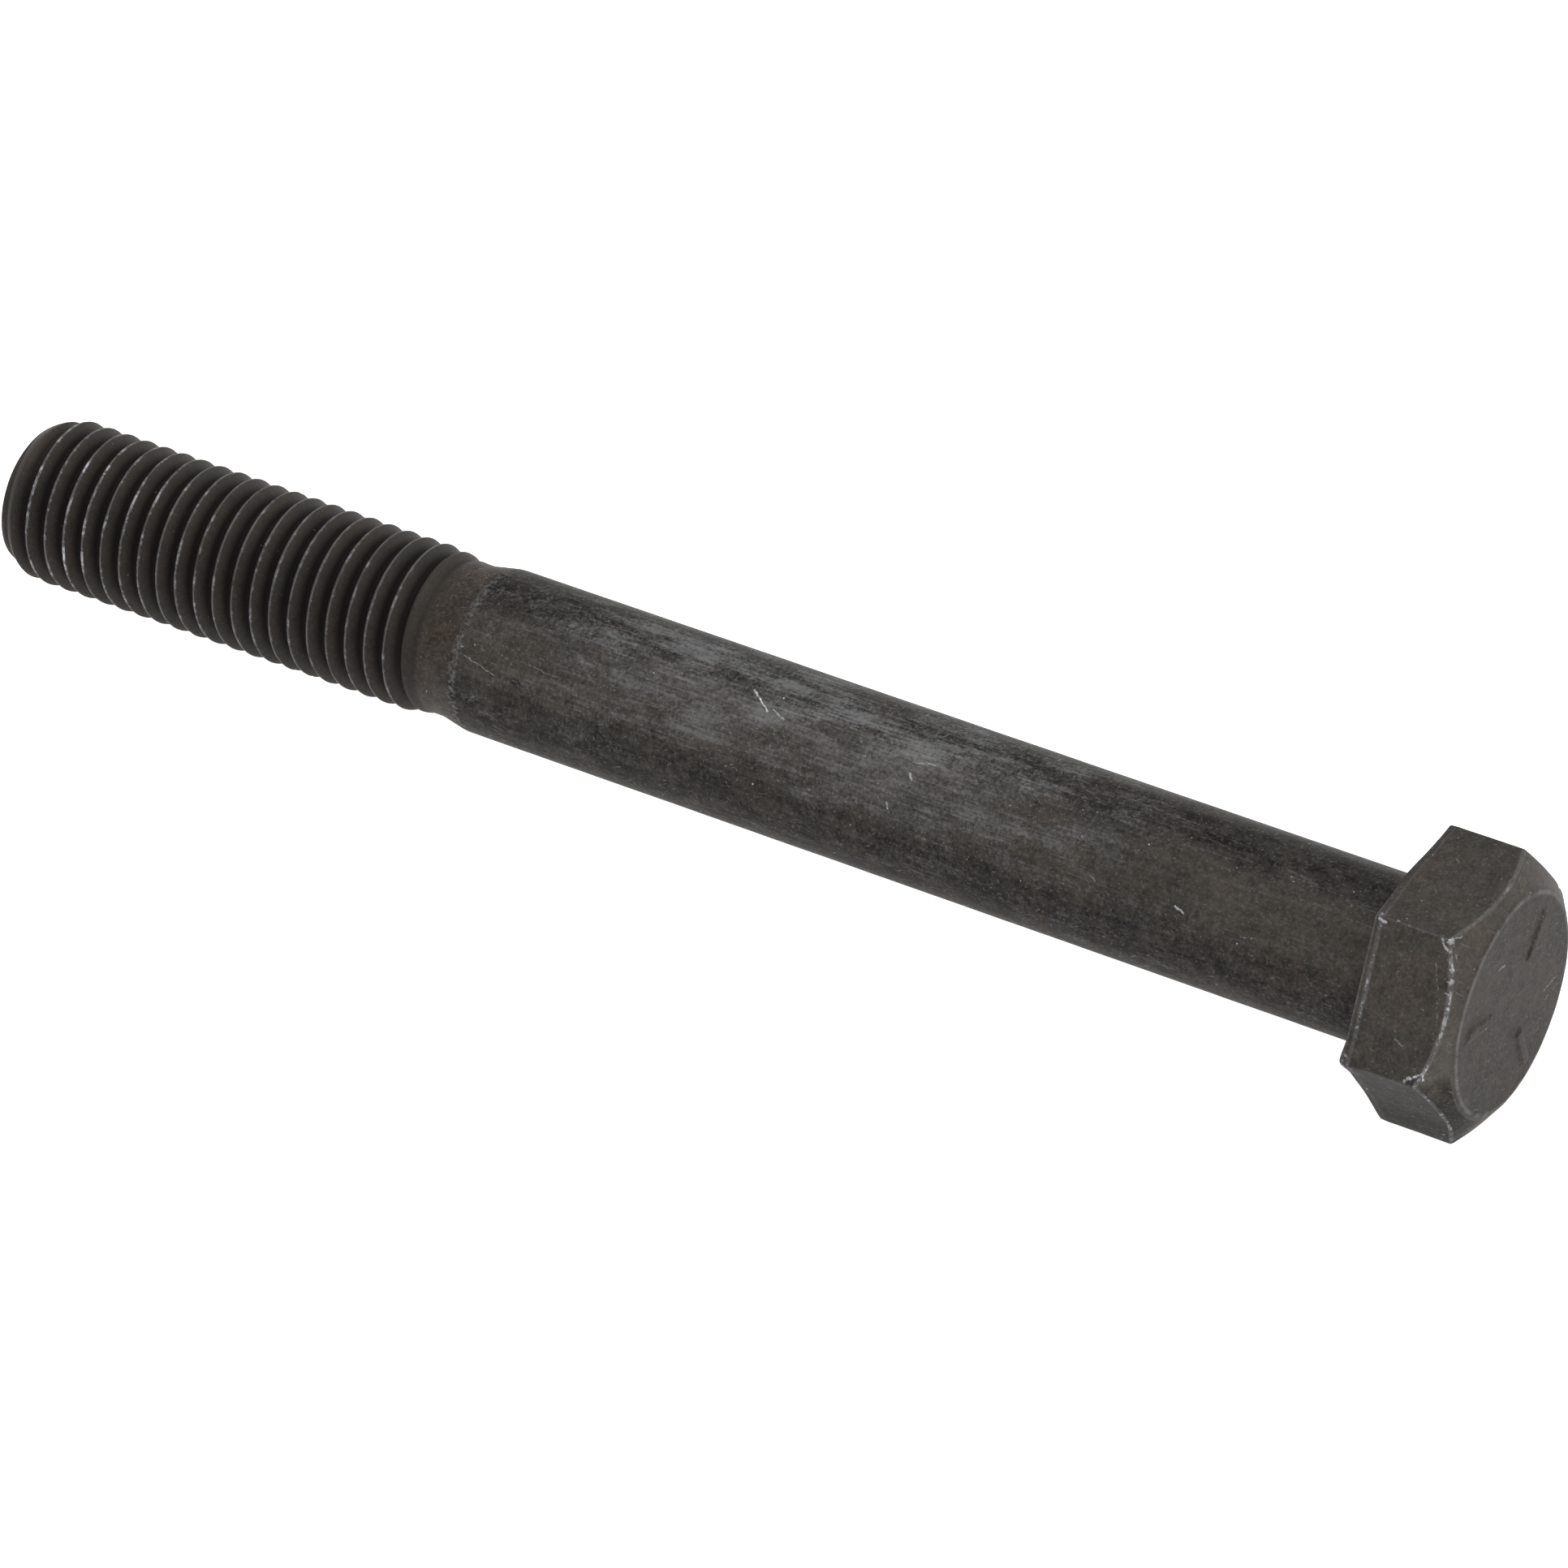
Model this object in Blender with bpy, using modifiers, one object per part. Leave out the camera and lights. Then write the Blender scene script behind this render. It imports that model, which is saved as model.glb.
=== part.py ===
"""Hex cap bolt, 3/4 inch with ten threads to the inch and seven inches long.

The bolt is one piece of steel: the head is forged on the end of a bar, the bar's other end is
brought down to the rolling diameter, and the thread is rolled on it. So it is one object.

The bolt lies along X. +X points out of the head's top, whose centre is the origin, and a flat of
the head faces up and another down. Each shape is turned about its own Z, and an empty lays them
all along X.
"""

import math

import bmesh
import bpy

# Driving dimensions, in metres.
NOMINAL_DIAMETER = 0.01905
LENGTH = 0.1778  # washer face to end
SHANK_UNDERSIZE = 0.00013  # nominal diameter less the plain shank's
THREAD_UNDERSIZE = 0.00005  # nominal diameter less the crests'
PITCH = 0.00254
THREAD_DEPTH = 0.00156  # crest to root, on the radius
CREST_WIDTH = 0.00040
ROOT_WIDTH = 0.00036
THREAD_LENGTH = 0.0530  # end to where the crests begin to sink
RUNOUT_LENGTH = 0.0040  # over which the crests sink
GROOVE_LEAD = 0.0009  # how much nearer the end than the crests the grooves fade out
BLANK_DROP = 0.00073  # crests down to the smooth rolling diameter, on the radius
NECK_LENGTH = 0.0012  # left smooth at the rolling diameter
SHOULDER_LENGTH = 0.0034  # cone from the neck up to the plain shank
POINT_LENGTH = 0.0027  # chamfer at the end
POINT_DROP = 0.0014  # crests down to the end face's edge, on the radius
FILLET_RADIUS = 0.0008  # between shank and washer face
HEAD_ACROSS_FLATS = 0.0285
HEAD_HEIGHT = 0.0117  # washer face to top
WASHER_FACE_HEIGHT = 0.0004
WASHER_FACE_INSET = 0.00075  # flats in to the washer face's edge
CHAMFER_INSET = 0.00165  # flats in to the circle left flat on top
CHAMFER_SLOPE = math.radians(35.5)
THREAD_START = math.radians(-129.4)  # turn of the whole thread about the axis

# How finely round shapes are cut, and how far joined shapes reach into each other.
TURN_STEPS = 32
FILLET_STEPS = 3
HEX_SIDES = 6
OVERLAP = 0.0005
LOOSE_TURNS = 2  # turns of thread beyond the point, cut away by the blank
SHANK_START = math.radians(360 / TURN_STEPS / 4)  # keeps the shank's edges off the thread blank's
WELD_DISTANCE = 0.000005
SHARP_ANGLE = math.radians(28)

# Radii and heights that follow from them. Heights are along Z, down from the head's top.
SHANK_RADIUS = (NOMINAL_DIAMETER - SHANK_UNDERSIZE) / 2
CREST_RADIUS = (NOMINAL_DIAMETER - THREAD_UNDERSIZE) / 2
ROOT_RADIUS = CREST_RADIUS - THREAD_DEPTH
NECK_RADIUS = CREST_RADIUS - BLANK_DROP
POINT_RADIUS = CREST_RADIUS - POINT_DROP
FLAT_RADIUS = HEAD_ACROSS_FLATS / 2
CORNER_RADIUS = FLAT_RADIUS / math.cos(math.pi / HEX_SIDES)
WASHER_FACE_RADIUS = FLAT_RADIUS - WASHER_FACE_INSET
TOP_RADIUS = FLAT_RADIUS - CHAMFER_INSET
WASHER_FACE_Z = -HEAD_HEIGHT
HEX_BOTTOM_Z = WASHER_FACE_Z + WASHER_FACE_HEIGHT
END_Z = WASHER_FACE_Z - LENGTH

STEEL_COLOUR = (0.070, 0.063, 0.058, 1.0)
STEEL_ROUGHNESS = 0.48
STEEL_METALLIC = 0.75


def clear_scene():
    for obj in list(bpy.data.objects):
        bpy.data.objects.remove(obj)


def new_collection(name):
    collection = bpy.data.collections.new(name)
    bpy.context.scene.collection.children.link(collection)
    return collection


def lay_along_x():
    """The empty that every shape is turned under: it lays their Z along world X."""
    axis = bpy.data.objects.new("bolt_axis", None)
    axis.rotation_euler = (0.0, math.pi / 2, 0.0)
    bpy.context.scene.collection.objects.link(axis)
    return axis


def add_shape(name, mesh, axis, collection):
    shape = bpy.data.objects.new(name, mesh)
    shape.parent = axis
    collection.objects.link(shape)
    return shape


def hide_cutter(shape):
    shape.hide_render = True
    shape.display_type = "WIRE"


def profile_mesh(name, points):
    """An open outline in the XZ plane from (radius, height) points, ready for a Screw modifier."""
    mesh = bpy.data.meshes.new(name)
    vertices = [(radius, 0.0, height) for radius, height in points]
    edges = [(index, index + 1) for index in range(len(points) - 1)]
    mesh.from_pydata(vertices, edges, [])
    return mesh


def add_screw(shape, rise=0.0, turns=1):
    screw = shape.modifiers.new("turn", "SCREW")
    screw.axis = "Z"
    screw.steps = TURN_STEPS
    screw.render_steps = TURN_STEPS
    screw.screw_offset = rise
    screw.iterations = turns
    screw.use_smooth_shade = True
    if rise == 0.0:
        screw.use_merge_vertices = True
        screw.merge_threshold = WELD_DISTANCE


def turned(name, points, axis, collection, start=0.0):
    """A solid of revolution from a profile that starts and ends on the axis, top to bottom."""
    shape = add_shape(name, profile_mesh(name, points), axis, collection)
    shape.rotation_euler.z = start
    add_screw(shape)
    return shape


def add_boolean(shape, operation, other):
    cut = shape.modifiers.new(operation.lower() + "_" + other.name, "BOOLEAN")
    cut.operation = operation
    cut.object = other
    cut.solver = "EXACT"


def settle(shape):
    """Replaces a shape's mesh by what its modifiers make of it."""
    bpy.context.view_layer.update()
    evaluated = shape.evaluated_get(bpy.context.evaluated_depsgraph_get())
    mesh = bpy.data.meshes.new_from_object(evaluated)
    shape.modifiers.clear()
    shape.data = mesh


def above_end(distance):
    """Height of a place that is a distance up from the bolt's end."""
    return END_Z + distance


def height_on_line(radius, low, high):
    """Height at which the line through two (radius, height) points reaches a radius."""
    share = (radius - low[0]) / (high[0] - low[0])
    return low[1] + share * (high[1] - low[1])


def fillet_points(centre, radius, first, last, steps):
    """Points of an arc in the profile plane, between two directions in radians."""
    points = []
    for step in range(steps + 1):
        angle = first + (last - first) * step / steps
        points.append((centre[0] + radius * math.cos(angle), centre[1] + radius * math.sin(angle)))
    return points


def hex_prism(axis, collection):
    """The head before its chamfer: corners to +Y and -Y, so two flats face up and down."""
    height = OVERLAP - HEX_BOTTOM_Z
    mesh = bpy.data.meshes.new("hex_bolt")
    shell = bmesh.new()
    bmesh.ops.create_cone(
        shell,
        cap_ends=True,
        segments=HEX_SIDES,
        radius1=CORNER_RADIUS,
        radius2=CORNER_RADIUS,
        depth=height,
    )
    bmesh.ops.translate(shell, verts=shell.verts, vec=(0.0, 0.0, OVERLAP - height / 2))
    shell.to_mesh(mesh)
    shell.free()
    return add_shape("hex_bolt", mesh, axis, collection)


def chamfer_cone(axis, collection):
    """What the head's top is trimmed to: a flat circle with a cone falling away from it."""
    reach = CORNER_RADIUS + OVERLAP
    fall = (reach - TOP_RADIUS) * math.tan(CHAMFER_SLOPE)
    points = [(0.0, 0.0), (TOP_RADIUS, 0.0), (reach, -fall)]
    points += [(reach, WASHER_FACE_Z - OVERLAP), (0.0, WASHER_FACE_Z - OVERLAP)]
    return turned("head_chamfer", points, axis, collection)


def plain_shank(axis, collection):
    """Washer face, fillet, plain shank, shoulder, neck, and the cone that fills the last grooves."""
    seat = HEX_BOTTOM_Z + OVERLAP
    fillet_centre = (SHANK_RADIUS + FILLET_RADIUS, WASHER_FACE_Z - FILLET_RADIUS)
    neck_top = above_end(THREAD_LENGTH + RUNOUT_LENGTH + NECK_LENGTH)
    neck_bottom = above_end(THREAD_LENGTH + RUNOUT_LENGTH - GROOVE_LEAD)
    core_radius = ROOT_RADIUS - OVERLAP
    core_bottom = neck_bottom - 2 * RUNOUT_LENGTH
    points = [(0.0, seat), (WASHER_FACE_RADIUS, seat), (WASHER_FACE_RADIUS, WASHER_FACE_Z)]
    points += fillet_points(fillet_centre, FILLET_RADIUS, math.pi / 2, math.pi, FILLET_STEPS)
    points += [(SHANK_RADIUS, neck_top + SHOULDER_LENGTH), (NECK_RADIUS, neck_top)]
    points += [(NECK_RADIUS, neck_bottom), (core_radius, core_bottom), (0.0, core_bottom)]
    return turned("plain_shank", points, axis, collection, start=SHANK_START)


def thread_blank(axis, collection):
    """What the thread is trimmed to: the pointed end, and a cone under which the crests sink."""
    clear_radius = CREST_RADIUS + OVERLAP
    point_edge = (POINT_RADIUS, END_Z)
    point_top = (CREST_RADIUS, above_end(POINT_LENGTH))
    sink_start = (CREST_RADIUS, above_end(THREAD_LENGTH))
    sink_end = (NECK_RADIUS, above_end(THREAD_LENGTH + RUNOUT_LENGTH))
    inside_radius = NECK_RADIUS - OVERLAP / 2
    top = height_on_line(inside_radius, sink_start, sink_end)
    points = [(0.0, top), (inside_radius, top)]
    points += [(clear_radius, height_on_line(clear_radius, sink_start, sink_end))]
    points += [(clear_radius, height_on_line(clear_radius, point_edge, point_top))]
    points += [point_edge, (0.0, END_Z)]
    return turned("thread_blank", points, axis, collection)


def close_ends(mesh):
    """Draws each open end of the thread in to a point on the axis."""
    shell = bmesh.new()
    shell.from_mesh(mesh)
    middle = sum(vertex.co.z for vertex in shell.verts) / len(shell.verts)
    for above in (False, True):
        rim = [edge for edge in shell.edges if edge.is_boundary]
        rim = [edge for edge in rim if (edge.verts[0].co.z > middle) == above]
        drawn = bmesh.ops.extrude_edge_only(shell, edges=rim)["geom"]
        inner = [part for part in drawn if isinstance(part, bmesh.types.BMVert)]
        height = sum(vertex.co.z for vertex in inner) / len(inner)
        bmesh.ops.pointmerge(shell, verts=inner, merge_co=(0.0, 0.0, height))
    bmesh.ops.recalc_face_normals(shell, faces=shell.faces)
    shell.to_mesh(mesh)
    shell.free()


def threaded_rod(axis, collection):
    """One pitch of thread carried up a right-hand helix, from below the point to past the neck."""
    start = END_Z - LOOSE_TURNS * PITCH
    reach = THREAD_LENGTH + RUNOUT_LENGTH + NECK_LENGTH + LOOSE_TURNS * PITCH
    turns = math.ceil(reach / PITCH) + LOOSE_TURNS
    flank = (PITCH - CREST_WIDTH - ROOT_WIDTH) / 2
    heights = (PITCH, PITCH - ROOT_WIDTH, PITCH - ROOT_WIDTH - flank, flank, 0.0)
    radii = (ROOT_RADIUS, ROOT_RADIUS, CREST_RADIUS, CREST_RADIUS, ROOT_RADIUS)
    points = [(radius, start + height) for radius, height in zip(radii, heights)]
    rod = add_shape("threaded_rod", profile_mesh("threaded_rod", points), axis, collection)
    rod.rotation_euler.z = THREAD_START
    add_screw(rod, rise=PITCH, turns=turns)
    weld = rod.modifiers.new("join_turns", "WELD")
    weld.merge_threshold = WELD_DISTANCE
    settle(rod)
    close_ends(rod.data)
    return rod


def steel():
    material = bpy.data.materials.new("phosphated_steel")
    material.use_nodes = True
    shader = material.node_tree.nodes["Principled BSDF"]
    shader.inputs["Base Color"].default_value = STEEL_COLOUR
    shader.inputs["Roughness"].default_value = STEEL_ROUGHNESS
    shader.inputs["Metallic"].default_value = STEEL_METALLIC
    return material


def build():
    clear_scene()
    parts = new_collection("hex_bolt")
    cutters = new_collection("cutters")
    axis = lay_along_x()
    rod = threaded_rod(axis, cutters)
    blank = thread_blank(axis, cutters)
    shank = plain_shank(axis, cutters)
    chamfer = chamfer_cone(axis, cutters)
    for shape in (rod, blank, shank, chamfer):
        hide_cutter(shape)
    add_boolean(rod, "INTERSECT", blank)
    bolt = hex_prism(axis, parts)
    add_boolean(bolt, "INTERSECT", chamfer)
    add_boolean(bolt, "UNION", shank)
    add_boolean(bolt, "UNION", rod)
    settle(bolt)
    bolt.data.shade_smooth()
    bolt.data.set_sharp_from_angle(angle=SHARP_ANGLE)
    bolt.data.materials.clear()
    bolt.data.materials.append(steel())


build()
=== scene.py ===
"""Finished surface of a long hex cap screw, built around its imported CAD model.

The bolt is one piece of steel, so it is one closed mesh. Its thread is rolled by a Geometry Nodes
tree, its shank and head are turned and forged ring by ring, and the three are welded together.
It lies along X with the head's top at the origin. Angles about the axis run from +Y towards +Z.
"""

import math

import bmesh
import bpy
import numpy as np
from bpy.props import FloatProperty, FloatVectorProperty, PointerProperty
from mathutils import Matrix, Vector, noise


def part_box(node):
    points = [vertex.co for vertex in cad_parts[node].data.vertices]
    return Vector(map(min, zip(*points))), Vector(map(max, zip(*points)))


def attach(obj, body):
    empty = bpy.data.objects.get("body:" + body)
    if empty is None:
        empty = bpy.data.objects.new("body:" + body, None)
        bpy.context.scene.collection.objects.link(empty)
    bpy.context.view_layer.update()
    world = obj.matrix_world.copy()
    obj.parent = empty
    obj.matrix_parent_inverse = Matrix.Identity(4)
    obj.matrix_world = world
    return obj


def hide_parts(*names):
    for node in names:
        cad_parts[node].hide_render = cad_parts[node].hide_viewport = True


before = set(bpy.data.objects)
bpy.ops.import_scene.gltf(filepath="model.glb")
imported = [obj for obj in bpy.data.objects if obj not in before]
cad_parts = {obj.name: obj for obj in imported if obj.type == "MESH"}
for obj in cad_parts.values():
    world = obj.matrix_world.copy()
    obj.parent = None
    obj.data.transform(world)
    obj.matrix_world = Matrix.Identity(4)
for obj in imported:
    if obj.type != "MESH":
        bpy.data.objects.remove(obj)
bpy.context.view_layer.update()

bl_info = {
    "name": "Hex Bolt Finish",
    "version": (1, 0, 0),
    "blender": (4, 5, 0),
    "location": "View3D > Sidebar > Bolt",
    "description": "Builds a long hex cap screw in dark phosphated steel, and a pale studio",
    "category": "Add Mesh",
}

CAD_NODE = "hex_bolt"
LOW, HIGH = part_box(CAD_NODE)
MM = 0.001

PIECE = "forged_bolt"
THREAD_PART = "rolled_thread"
SHANK_PART = "turned_shank"
HEAD_PART = "forged_head"

TURN_STEPS = 144  # facets round the thread and the shank
PITCH_STEPS = 9  # rows from crest to crest
HEAD_STEPS = 288  # facets round the head
HEX_SIDES = 6
SIDE_TURN = math.tau / HEX_SIDES
WELD = 0.0000012
JOIN_GAP = 0.5 * MM  # between the fillet's foot and the ring where head and shank meet
EDGE_FADE = 1.0 * MM  # how far from an edge its wear mark reaches
FLOOR_GAP = 0.40 * MM  # the fullest corner of the head stands on the floor


def length_property(name, description, default):
    return FloatProperty(
        name=name, description=description, default=default, unit="LENGTH", precision=5
    )


def angle_property(name, description, default):
    return FloatProperty(name=name, description=description, default=default, subtype="ANGLE")


def light_property(name, description, default, unit="NONE"):
    return FloatProperty(name=name, description=description, default=default, min=0, unit=unit)


def colour_property(name, description, default):
    return FloatVectorProperty(
        name=name, description=description, default=default, subtype="COLOR", size=3, min=0, max=1
    )


class BoltSizes(bpy.types.PropertyGroup):
    """Sizes of the bolt, in metres"""

    across_flats: length_property("Across flats", "Between two opposite flats", HIGH.z - LOW.z)
    head_height: length_property("Head height", "Washer face to the head's top", 11.7 * MM)
    washer_height: length_property("Washer face height", "Step under the six flats", 0.06 * MM)
    washer_inset: length_property("Washer face inset", "Flats in to the step", 0.75 * MM)
    top_inset: length_property("Top circle inset", "Flats in to the circle on top", 1.65 * MM)
    chamfer_slope: angle_property(
        "Chamfer slope", "Angle of the cone that cuts the head's corners", math.radians(35.5)
    )
    fillet: length_property("Fillet", "Radius between shank and washer face", 0.8 * MM)
    shank_radius: length_property("Shank radius", "Plain shank", 9.525 * MM)
    shoulder_length: length_property("Shoulder length", "Cone down to the neck", 3.4 * MM)
    neck_length: length_property("Neck length", "Smooth neck at the rolling size", 1.2 * MM)
    neck_radius: length_property("Neck radius", "Rolling size", 8.83 * MM)
    thread_length: length_property("Thread length", "End to the last full crest", 53.0 * MM)
    runout_length: length_property("Run-out length", "Over which the crests sink", 4.0 * MM)
    crest_radius: length_property("Crest radius", "Outside of the thread", 9.55 * MM)
    thread_depth: length_property("Thread depth", "Crest to root", 1.56 * MM)
    pitch: length_property("Pitch", "Crest to crest along the axis", 2.54 * MM)
    crest_width: length_property("Crest width", "Flat left on a crest", 0.36 * MM)
    root_width: length_property("Root width", "Flat left in a root", 0.36 * MM)
    crest_place: length_property(
        "Crest place", "Along the axis, a crest on the +Y side", -193.87 * MM
    )
    point_radius: length_property("Point radius", "Edge of the end face", 8.1 * MM)
    point_length: length_property("Point length", "Chamfer at the end", 2.7 * MM)


class SteelLook(bpy.types.PropertyGroup):
    """Colours of the steel"""

    coat_brown: colour_property("Brown coat", "Oiled phosphate", (0.0585, 0.0495, 0.0425))
    coat_green: colour_property("Green coat", "Greyer phosphate", (0.0505, 0.0465, 0.0405))
    # Painted shade in the grooves, with their oil.
    groove_shade_colour: colour_property("Dark coat", "Oil in the grooves", (0.011, 0.009, 0.008))
    # Also the colour of the painted sheen on the shank's upper side.
    worn_steel_and_sheen: colour_property("Worn steel", "Coat rubbed thin", (0.180, 0.179, 0.180))
    bare_steel: colour_property("Bare steel", "Edges and nicks", (0.50, 0.51, 0.53))
    rust: colour_property("Rust", "Small specks", (0.110, 0.042, 0.018))


class StageLook(bpy.types.PropertyGroup):
    """Floor, lights and camera"""

    floor_colour: colour_property("Floor", "Plain pale floor", (0.92, 0.92, 0.92))
    floor_width: length_property("Floor width", "Side of the square floor", 4.0)
    floor_glow: light_property("Floor glow", "Light from within the floor", 0.88)
    room_light: light_property("Room light", "Brightness behind and above", 0.68)
    room_shade: light_property("Room shade", "Brightness on the camera's side", 0.50)
    overhead_power: light_property("Overhead", "Power of the softbox above", 4.5, "POWER")
    overhead_width: length_property("Overhead width", "Width of the softbox above", 0.9)
    azimuth: angle_property("Azimuth", "Camera's turn about Z", 0.5979)
    elevation: angle_property("Elevation", "Camera above the floor", 0.6995)
    roll: angle_property("Roll", "Camera's lean", -0.0771)
    lens: FloatProperty(
        name="Lens", description="Focal length", default=230.57, min=1, unit="CAMERA"
    )


class Value:
    """A socket of a node tree. Arithmetic on it adds the nodes that do the same."""

    def __init__(self, bench, socket):
        self.bench = bench
        self.socket = socket

    def __add__(self, other):
        return self.bench.math("ADD", self, other)

    def __sub__(self, other):
        return self.bench.math("SUBTRACT", self, other)

    def __rsub__(self, other):
        return self.bench.math("SUBTRACT", other, self)

    def __mul__(self, other):
        return self.bench.math("MULTIPLY", self, other)

    def __truediv__(self, other):
        return self.bench.math("DIVIDE", self, other)

    __radd__ = __add__
    __rmul__ = __mul__


class Bench:
    """Short calls for adding nodes to one tree and wiring them."""

    COLUMNS = 14

    def __init__(self, tree):
        self.tree = tree

    def wire(self, source, socket):
        if isinstance(source, Value):
            self.tree.links.new(source.socket, socket)
        else:
            socket.default_value = source

    def node(self, kind, inputs=None, **settings):
        made = self.tree.nodes.new(kind)
        count = len(self.tree.nodes)
        made.location = (200 * (count % self.COLUMNS), -260 * (count // self.COLUMNS))
        for key, value in settings.items():
            setattr(made, key, value)
        for key, value in (inputs or {}).items():
            self.wire(value, made.inputs[key])
        return made

    def out(self, kind, inputs=None, socket=0, **settings):
        """Adds a node and gives one of its outputs."""
        return Value(self, self.node(kind, inputs, **settings).outputs[socket])

    def math(self, operation, *values):
        return self.out("ShaderNodeMath", dict(enumerate(values)), operation=operation)

    def held(self, value, low, high):
        return self.out("ShaderNodeClamp", {0: value, 1: low, 2: high})

    def largest(self, first, *others):
        for other in others:
            first = self.math("MAXIMUM", first, other)
        return first

    def ramp(self, value, low, high, start=0.0, end=1.0):
        """Start up to low, end from high on, and a smooth step between."""
        inputs = {0: value, 1: low, 2: high, 3: start, 4: end}
        return self.out("ShaderNodeMapRange", inputs, interpolation_type="SMOOTHSTEP")

    def band(self, value, centre, half_width, fade):
        """One near the centre, falling to zero over the fade on both sides."""
        away = self.math("ABSOLUTE", value - centre)
        return self.ramp(away, half_width, half_width + fade, 1.0, 0.0)

    def blend(self, factor, first, second):
        return self.out("ShaderNodeMix", {0: factor, 2: first, 3: second}, data_type="FLOAT")

    def tint(self, factor, first, second, blend_type="MIX"):
        inputs = {0: factor, 6: first, 7: second}
        return self.out("ShaderNodeMix", inputs, 2, data_type="RGBA", blend_type=blend_type)

    def grey(self, value):
        return self.out("ShaderNodeCombineColor", {0: value, 1: value, 2: value})

    def vector(self, operation, first, second):
        socket = "Value" if operation in ("DOT_PRODUCT", "DISTANCE") else "Vector"
        inputs = {0: first, 1: second}
        return self.out("ShaderNodeVectorMath", inputs, socket, operation=operation)

    def point(self, along, across, up):
        return self.out("ShaderNodeCombineXYZ", {0: along, 1: across, 2: up})

    def split(self, vector):
        parts = self.node("ShaderNodeSeparateXYZ", {0: vector}).outputs
        return [Value(self, part) for part in parts]

    def noise(self, vector, size, detail=2.0, roughness=0.5, seed=0.0):
        """Noise whose patches are about size metres across."""
        inputs = {"Vector": vector, "W": seed, "Scale": 1 / size}
        inputs |= {"Detail": detail, "Roughness": roughness}
        return self.out("ShaderNodeTexNoise", inputs, noise_dimensions="4D")


WHITE = (1.0, 1.0, 1.0, 1.0)
BRIGHTEST_WAY = Vector((-0.35, 0.55, 0.80))
OVERHEAD_PLACE = (0.25, 0.95)  # behind the bolt's middle and up, in metres
CAMERA_PLACE = Vector((0.38483, -0.69830, 0.70597))


def rgba(colour):
    return (*colour, 1.0)


# Straight nicks and scratches of the shank: their two ends, each as angle about the axis in degrees
# and place along the axis in millimetres, then width in millimetres and how bright.
SHANK_MARKS = (
    ((101.6, -92.4), (113.4, -89.6), 0.34, 1.0),
    ((110.6, -89.2), (115.3, -87.4), 0.24, 0.6),
    ((113.4, -71.1), (110.6, -68.5), 0.20, 0.4),
    ((121.7, -70.8), (125.5, -70.4), 0.36, 0.9),
    ((144.8, -72.3), (148.6, -71.9), 0.32, 0.8),
    ((143.8, -127.2), (151.2, -122.4), 0.16, 0.4),
    ((136.3, -119.4), (138.5, -114.4), 0.16, 0.3),
    ((146.7, -36.4), (148.9, -35.2), 0.32, 0.8),
    ((145.5, -47.0), (148.5, -46.0), 0.18, 0.5),
    ((152.0, -28.2), (149.5, -26.6), 0.16, 0.5),
    ((296.9, -65.9), (305.1, -62.1), 0.22, 0.5),
    ((262.5, -102.4), (253.5, -99.6), 0.22, 0.5),
)
SHANK_MARK_RADIUS = 9.52

# Those of the head: each end has its radius in millimetres between angle and place.
HEAD_MARKS = (
    ((120.8, 16.2, -11.1), (121.4, 16.3, -10.2), 0.50, 0.8),
    ((120.2, 16.3, -9.6), (119.8, 16.3, -8.6), 0.20, 0.6),
    ((120.6, 16.3, -3.7), (123.6, 15.9, -2.7), 0.34, 0.9),
    ((115.5, 15.5, -2.0), (119.5, 16.1, -2.6), 0.20, 0.6),
    ((127.6, 15.2, -1.9), (130.4, 14.9, -1.7), 0.34, 0.9),
    ((139.6, 14.4, -1.3), (145.8, 14.2, -1.2), 0.30, 0.8),
    ((156.0, 14.3, -1.3), (163.0, 14.6, -1.5), 0.18, 0.7),
    ((179.2, 16.3, -4.1), (175.6, 15.8, -2.8), 0.42, 1.0),
    ((177.9, 15.7, -2.2), (174.0, 15.6, -2.3), 0.34, 0.7),
    ((129.2, 15.2, -3.8), (137.6, 14.6, -2.9), 0.14, 0.3),
    ((137.6, 14.6, -2.9), (153.8, 14.3, -2.0), 0.14, 0.3),
    ((165.2, 14.8, -6.2), (166.8, 14.9, -5.2), 0.18, 0.4),
    ((75.5, 14.7, -8.4), (78.0, 14.6, -7.8), 0.14, 0.4),
    ((333.0, 7.9, 0.0), (340.0, 10.4, 0.0), 0.16, 0.4),
    ((325.0, 8.8, 0.0), (334.0, 10.9, 0.0), 0.16, 0.3),
    ((113.0, 7.5, 0.0), (103.0, 6.8, 0.0), 0.20, 0.4),
    ((93.0, 13.3, -0.5), (66.0, 12.8, -0.2), 0.14, 0.4),
)
MARK_WANDER = 0.6 * MM  # how far noise shifts a mark's outline

# Sides of the bolt that the finish treats in their own way, in degrees about the axis. Most of them
# place painted shade, a painted sheen or painted highlights.
RUBBED_SHEEN_SIDE = 106
BROW_SIDE = 72
UNDER_SIDE = 206
LOW_FLAT_SIDE = 210
THREAD_SHADE_SIDE = 205
CREST_GLINT_SIDE = 138
CONE_SIDE = 110
SHOULDER_GLINT_SIDE = 140
RUBBED_SHEEN_STRETCH = (-84 * MM, 12 * MM, 44 * MM)  # middle, half length and fade, along the axis
FLECK_TURNS = ((25.0, 11.0), (80.0, 12.0), (-40.0, 13.0))  # each with its seed


def surface_place(angle, radius, place):
    turn = math.radians(angle)
    return Vector((place * MM, radius * MM * math.cos(turn), radius * MM * math.sin(turn)))


def all_marks():
    """Every mark with its two ends as points in metres."""
    for first, last, width, bright in SHANK_MARKS:
        ends = [surface_place(angle, SHANK_MARK_RADIUS, place) for angle, place in (first, last)]
        yield (*ends, width, bright)
    for first, last, width, bright in HEAD_MARKS:
        yield surface_place(*first), surface_place(*last), width, bright


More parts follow.
